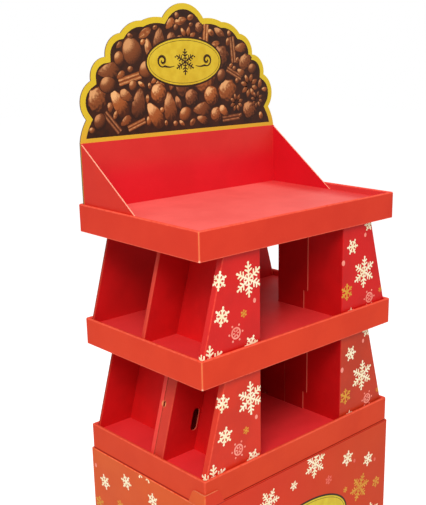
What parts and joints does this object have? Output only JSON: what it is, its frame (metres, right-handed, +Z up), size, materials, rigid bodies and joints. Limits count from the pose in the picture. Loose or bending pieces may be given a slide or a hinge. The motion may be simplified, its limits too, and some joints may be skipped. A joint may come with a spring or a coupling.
{
  "type": "cardboard display stand",
  "caption": "Floor-standing corrugated cardboard display stand: box base, stacked trays, sloped side bays with a middle tunnel, and a scalloped header card.",
  "frame": {"origin": "middle of the base's underside, on the floor", "axes": "+Z up, the printed front and the doorway look along -Y, +X to the right seen from the front"},
  "size_m": [0.6, 0.4, 1.3501],
  "materials": {
    "printed_base": "semi-matt print",
    "printed_front": "semi-matt print",
    "tray_board": "semi-matt print",
    "inner_board": "semi-matt print",
    "riser_board": "semi-matt print",
    "header_print": "semi-matt print",
    "kraft_board": "matte"
  },
  "bodies": {
    "root": {"back_panel_lower": "inner_board", "back_panel_upper": "inner_board", "base_box": "printed_base", "base_support_cross": "kraft_board", "base_support_long": "kraft_board", "divider_upper": "inner_board", "front_divider_lower": "inner_board", "front_panel_lower": "printed_front", "front_panel_upper": "printed_front", "header_card": "header_print", "rear_divider_lower": "inner_board", "riser": "riser_board", "tray_bottom": "tray_board", "tray_middle": "tray_board", "tray_top": "tray_board", "wedge_left_front_lower": "inner_board", "wedge_left_rear_lower": "inner_board", "wedge_left_upper": "inner_board", "wedge_right_front_lower": "inner_board", "wedge_right_rear_lower": "inner_board", "wedge_right_upper": "inner_board"}
  },
  "joints": []
}
